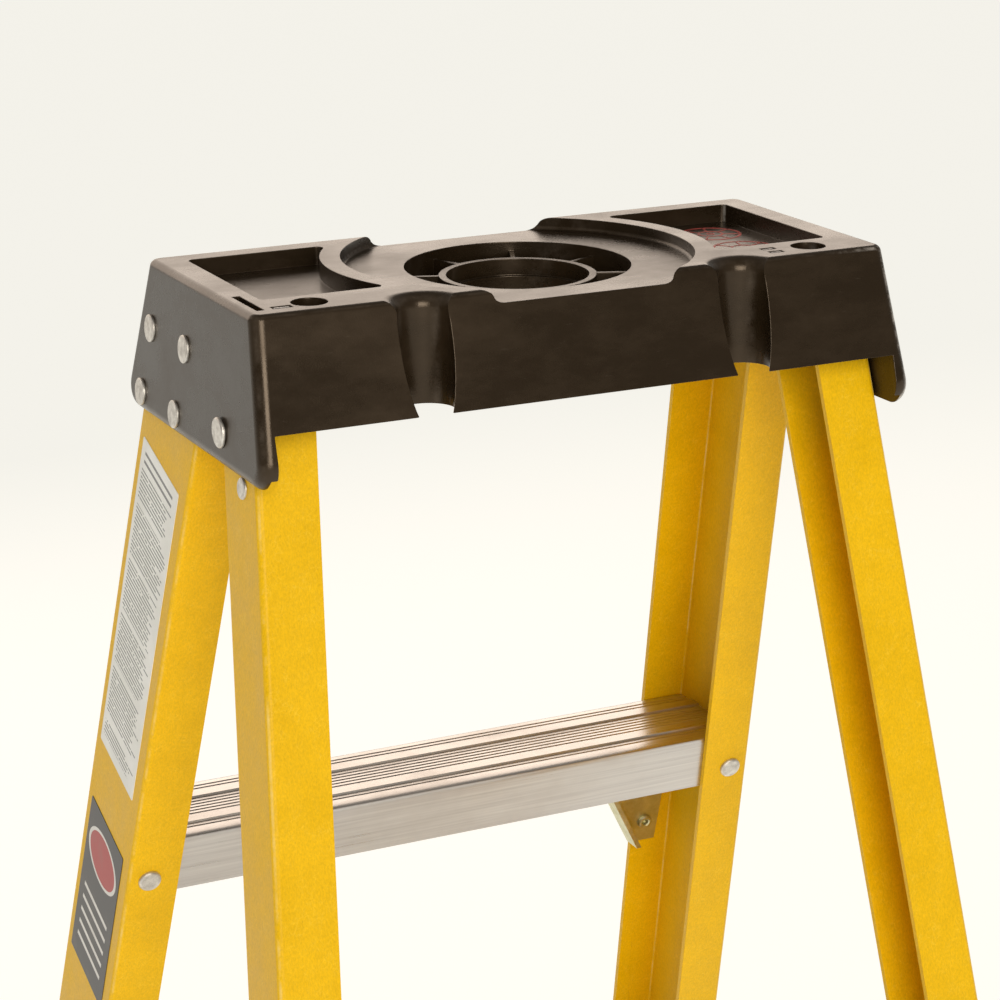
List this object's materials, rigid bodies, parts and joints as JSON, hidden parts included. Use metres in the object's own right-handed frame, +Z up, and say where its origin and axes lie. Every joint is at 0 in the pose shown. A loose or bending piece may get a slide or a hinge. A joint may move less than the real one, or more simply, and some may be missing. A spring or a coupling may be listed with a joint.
{
  "type": "step ladder",
  "caption": "Folding fibreglass step ladder with aluminium steps, a moulded tool-tray top cap, a hinged rear frame and folding spreaders.",
  "frame": {"origin": "on the floor, under the middle of the open ladder's outline", "axes": "+Z up; -Y is the climbing side, +Y the folding rear frame; +X is to the climber's right"},
  "size_m": [0.5838, 1.0808, 1.752],
  "materials": {
    "fibreglass": "pultruded glass fibre and resin, yellow, semi-gloss",
    "cap_plastic": "moulded copolymer, black-brown, semi-gloss",
    "tread_aluminium": "mill-finish extrusion",
    "rivet_aluminium": "bright",
    "zinc_steel": "zinc plated",
    "boot_steel": "zinc plated, pressed",
    "foot_rubber": "matt",
    "label_white": "printed film",
    "label_dark": "printed film"
  },
  "bodies": {
    "front_frame": {"top_cap": "cap_plastic", "cap_rivets": "rivet_aluminium", "hinge_pins": "rivet_aluminium", "front_rail_left": "fibreglass", "front_rail_right": "fibreglass", "step_1": "tread_aluminium", "step_2": "tread_aluminium", "step_3": "tread_aluminium", "step_4": "tread_aluminium", "step_5": "tread_aluminium", "knee_braces_1": "zinc_steel", "knee_braces_2": "zinc_steel", "knee_braces_3": "zinc_steel", "knee_braces_4": "zinc_steel", "knee_braces_5": "zinc_steel", "step_rivets": "rivet_aluminium", "knee_brace_rivets": "zinc_steel", "front_boot_left": "boot_steel", "front_boot_right": "boot_steel", "front_pad_left": "foot_rubber", "front_pad_right": "foot_rubber", "front_foot_rivets": "rivet_aluminium", "spreader_bracket_front_left": "zinc_steel", "spreader_bracket_front_right": "zinc_steel", "spreader_rivets_front": "zinc_steel", "spreader_pins_front": "zinc_steel", "label_long": "label_white", "label_short": "label_dark"},
    "rear_frame": {"rear_rail_left": "fibreglass", "rear_rail_right": "fibreglass", "hinge_plate_left": "zinc_steel", "hinge_plate_right": "zinc_steel", "hinge_plate_rivets": "rivet_aluminium", "rear_bar_1": "tread_aluminium", "rear_bar_2": "tread_aluminium", "rear_bar_3": "tread_aluminium", "rear_bar_4": "tread_aluminium", "rear_bar_rivets": "rivet_aluminium", "rear_boot_left": "boot_steel", "rear_boot_right": "boot_steel", "rear_pad_left": "foot_rubber", "rear_pad_right": "foot_rubber", "rear_foot_rivets": "rivet_aluminium", "spreader_bracket_rear_left": "zinc_steel", "spreader_bracket_rear_right": "zinc_steel", "spreader_rivets_rear": "zinc_steel", "spreader_pins_rear": "zinc_steel"},
    "spreader_front_left": {"spreader_arm_front_left": "zinc_steel"},
    "spreader_rear_left": {"spreader_arm_rear_left": "zinc_steel"},
    "spreader_front_right": {"spreader_arm_front_right": "zinc_steel"},
    "spreader_rear_right": {"spreader_arm_rear_right": "zinc_steel"}
  },
  "joints": [
    {"name": "rear_fold", "type": "hinge", "parent": "front_frame", "child": "rear_frame", "pos_m": [0, 0.10225, 1.6953], "axis": [-1, 0, 0], "range_deg": [0, 27.5]},
    {"name": "spreader_front_left", "type": "hinge", "parent": "front_frame", "child": "spreader_front_left", "pos_m": [0, -0.14394, 0.992], "axis": [1, 0, 0], "range_deg": [0, 66.75]},
    {"name": "spreader_rear_left", "type": "hinge", "parent": "rear_frame", "child": "spreader_rear_left", "pos_m": [0, 0.2436, 0.992], "axis": [-1, 0, 0], "range_deg": [0, 73.75]},
    {"name": "spreader_front_right", "type": "hinge", "parent": "front_frame", "child": "spreader_front_right", "pos_m": [0, -0.14394, 0.992], "axis": [1, 0, 0], "range_deg": [0, 66.75]},
    {"name": "spreader_rear_right", "type": "hinge", "parent": "rear_frame", "child": "spreader_rear_right", "pos_m": [0, 0.2436, 0.992], "axis": [-1, 0, 0], "range_deg": [0, 73.75]}
  ],
  "couplings": [
    {"joint": "spreader_front_left", "follows": "rear_fold", "ratio": 2.4271},
    {"joint": "spreader_rear_left", "follows": "rear_fold", "ratio": 2.682},
    {"joint": "spreader_front_right", "follows": "rear_fold", "ratio": 2.4271},
    {"joint": "spreader_rear_right", "follows": "rear_fold", "ratio": 2.682}
  ]
}
